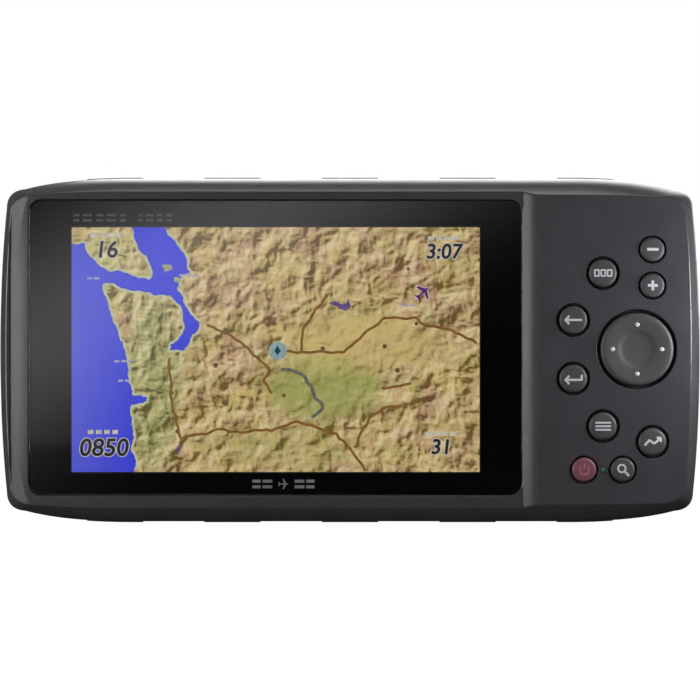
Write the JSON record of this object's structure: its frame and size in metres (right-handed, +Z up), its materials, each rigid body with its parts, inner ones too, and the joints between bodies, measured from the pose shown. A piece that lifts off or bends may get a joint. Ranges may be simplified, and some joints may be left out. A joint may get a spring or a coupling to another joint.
{
  "type": "portable aviation gps",
  "caption": "Handheld aviation GPS: landscape map screen beside a keypad with a four-way rocker, rubber grip band, and a latched battery cover and port flap behind.",
  "frame": {"origin": "middle of the box round the part, on the plane of the bottom grip pads", "axes": "+X to the right seen from the screen, +Y from the screen to the back, +Z up the screen"},
  "size_m": [0.19, 0.044, 0.0944],
  "materials": {
    "case_plastic": "satin, fine-textured",
    "grip_rubber": "matte",
    "glass": "gloss, black border printed behind",
    "screen": "lit map",
    "key_rubber": "satin",
    "power_key": "satin, dull red",
    "silicone": "matte",
    "circuit_board": "solder resist",
    "steel": "plated",
    "dark_steel": "black-coated",
    "gold": "plated",
    "foam": "matte",
    "flex": "polyimide film",
    "ceramic": "fired ceramic",
    "battery": "shrink-wrapped",
    "black_plastic": "moulded",
    "light_pipe": "clear moulded"
  },
  "bodies": {
    "housing": {"front_case": "case_plastic", "rear_case": "case_plastic", "case_seal": "silicone", "grip_band": "grip_rubber", "cover_glass": "glass", "glass_adhesive": "foam", "display_panel": "screen", "display_frame": "steel", "display_cable": "flex", "status_light_pipe": "light_pipe", "keypad_web": "silicone", "dome_sheet": "steel", "keypad_board": "circuit_board", "keypad_cable": "flex", "main_board": "circuit_board", "shield_can": "steel", "gps_antenna": "ceramic", "beeper": "black_plastic", "port_board": "circuit_board", "usb_port": "steel", "antenna_jack": "gold", "card_socket_left": "steel", "card_socket_right": "steel", "battery_contact_block": "black_plastic", "battery_contacts": "gold", "port_cover_anchor": "grip_rubber", "dock_contact_block": "black_plastic", "dock_contact_pins": "gold", "vent_membrane": "foam", "case_screw_1": "dark_steel", "case_screw_2": "dark_steel", "case_screw_3": "dark_steel", "case_screw_4": "dark_steel", "case_screw_5": "dark_steel", "case_screw_6": "dark_steel", "case_screw_7": "dark_steel", "case_screw_8": "dark_steel"},
    "key_zoom_out": {"key_zoom_out": "key_rubber"},
    "key_zoom_in": {"key_zoom_in": "key_rubber"},
    "key_page": {"key_page": "key_rubber"},
    "key_back": {"key_back": "key_rubber"},
    "key_enter": {"key_enter": "key_rubber"},
    "key_menu": {"key_menu": "key_rubber"},
    "key_navigate": {"key_navigate": "key_rubber"},
    "key_power": {"key_power": "power_key"},
    "key_find": {"key_find": "key_rubber"},
    "rocker_base": {"rocker_pivot": "black_plastic"},
    "rocker": {"rocker_cap": "key_rubber"},
    "battery": {"battery_pack": "battery"},
    "battery_cover": {"battery_cover": "case_plastic", "battery_cover_seal": "silicone", "battery_pad": "foam"},
    "latch_left": {"latch_stud_left": "dark_steel"},
    "ring_left": {"latch_ring_left": "steel"},
    "latch_right": {"latch_stud_right": "dark_steel"},
    "ring_right": {"latch_ring_right": "steel"},
    "port_cover": {"port_cover": "grip_rubber"}
  },
  "joints": [
    {"name": "key_zoom_out_press", "type": "slide", "parent": "housing", "child": "key_zoom_out", "axis": [0, 1, 0], "range_m": [0, 0.0006], "stiffness_N_per_m": 500, "springref_m": -0.0005},
    {"name": "key_zoom_in_press", "type": "slide", "parent": "housing", "child": "key_zoom_in", "axis": [0, 1, 0], "range_m": [0, 0.0006], "stiffness_N_per_m": 500, "springref_m": -0.0005},
    {"name": "key_page_press", "type": "slide", "parent": "housing", "child": "key_page", "axis": [0, 1, 0], "range_m": [0, 0.0006], "stiffness_N_per_m": 500, "springref_m": -0.0005},
    {"name": "key_back_press", "type": "slide", "parent": "housing", "child": "key_back", "axis": [0, 1, 0], "range_m": [0, 0.0006], "stiffness_N_per_m": 500, "springref_m": -0.0005},
    {"name": "key_enter_press", "type": "slide", "parent": "housing", "child": "key_enter", "axis": [0, 1, 0], "range_m": [0, 0.0006], "stiffness_N_per_m": 500, "springref_m": -0.0005},
    {"name": "key_menu_press", "type": "slide", "parent": "housing", "child": "key_menu", "axis": [0, 1, 0], "range_m": [0, 0.0006], "stiffness_N_per_m": 500, "springref_m": -0.0005},
    {"name": "key_navigate_press", "type": "slide", "parent": "housing", "child": "key_navigate", "axis": [0, 1, 0], "range_m": [0, 0.0006], "stiffness_N_per_m": 500, "springref_m": -0.0005},
    {"name": "key_power_press", "type": "slide", "parent": "housing", "child": "key_power", "axis": [0, 1, 0], "range_m": [0, 0.0006], "stiffness_N_per_m": 500, "springref_m": -0.0005},
    {"name": "key_find_press", "type": "slide", "parent": "housing", "child": "key_find", "axis": [0, 1, 0], "range_m": [0, 0.0006], "stiffness_N_per_m": 500, "springref_m": -0.0005},
    {"name": "rocker_tilt_up_down", "type": "hinge", "parent": "housing", "child": "rocker_base", "pos_m": [0.0765, -0.017, 0.0474], "axis": [1, 0, 0], "range_deg": [-2.2, 2.2], "stiffness_Nm_per_rad": 0.2},
    {"name": "rocker_tilt_sideways", "type": "hinge", "parent": "rocker_base", "child": "rocker", "pos_m": [0.0765, -0.017, 0.0474], "axis": [0, 0, 1], "range_deg": [-2.2, 2.2], "stiffness_Nm_per_rad": 0.2},
    {"name": "battery_cover_lift", "type": "slide", "parent": "housing", "child": "battery_cover", "axis": [0, 1, 0], "range_m": [0, 0.034]},
    {"name": "battery_lift", "type": "slide", "parent": "housing", "child": "battery", "axis": [0, 1, 0], "range_m": [0, 0.0204]},
    {"name": "latch_turn_left", "type": "hinge", "parent": "battery_cover", "child": "latch_left", "pos_m": [-0.056, 0.0202, 0.0472], "axis": [0, 1, 0], "range_deg": [0, 90]},
    {"name": "latch_ring_fold_left", "type": "hinge", "parent": "latch_left", "child": "ring_left", "pos_m": [-0.056, 0.0202, 0.0472], "axis": [1, 0, 0], "range_deg": [0, 95]},
    {"name": "latch_turn_right", "type": "hinge", "parent": "battery_cover", "child": "latch_right", "pos_m": [0.03, 0.0202, 0.0472], "axis": [0, 1, 0], "range_deg": [0, 90]},
    {"name": "latch_ring_fold_right", "type": "hinge", "parent": "latch_right", "child": "ring_right", "pos_m": [0.03, 0.0202, 0.0472], "axis": [1, 0, 0], "range_deg": [0, 95]},
    {"name": "port_cover_open", "type": "hinge", "parent": "housing", "child": "port_cover", "pos_m": [0.0541, 0.015, 0.0632], "axis": [0, 0, 1], "range_deg": [0, 110]}
  ],
  "couplings": [
    {"joint": "battery_lift", "follows": "battery_cover_lift", "ratio": 0.6}
  ]
}
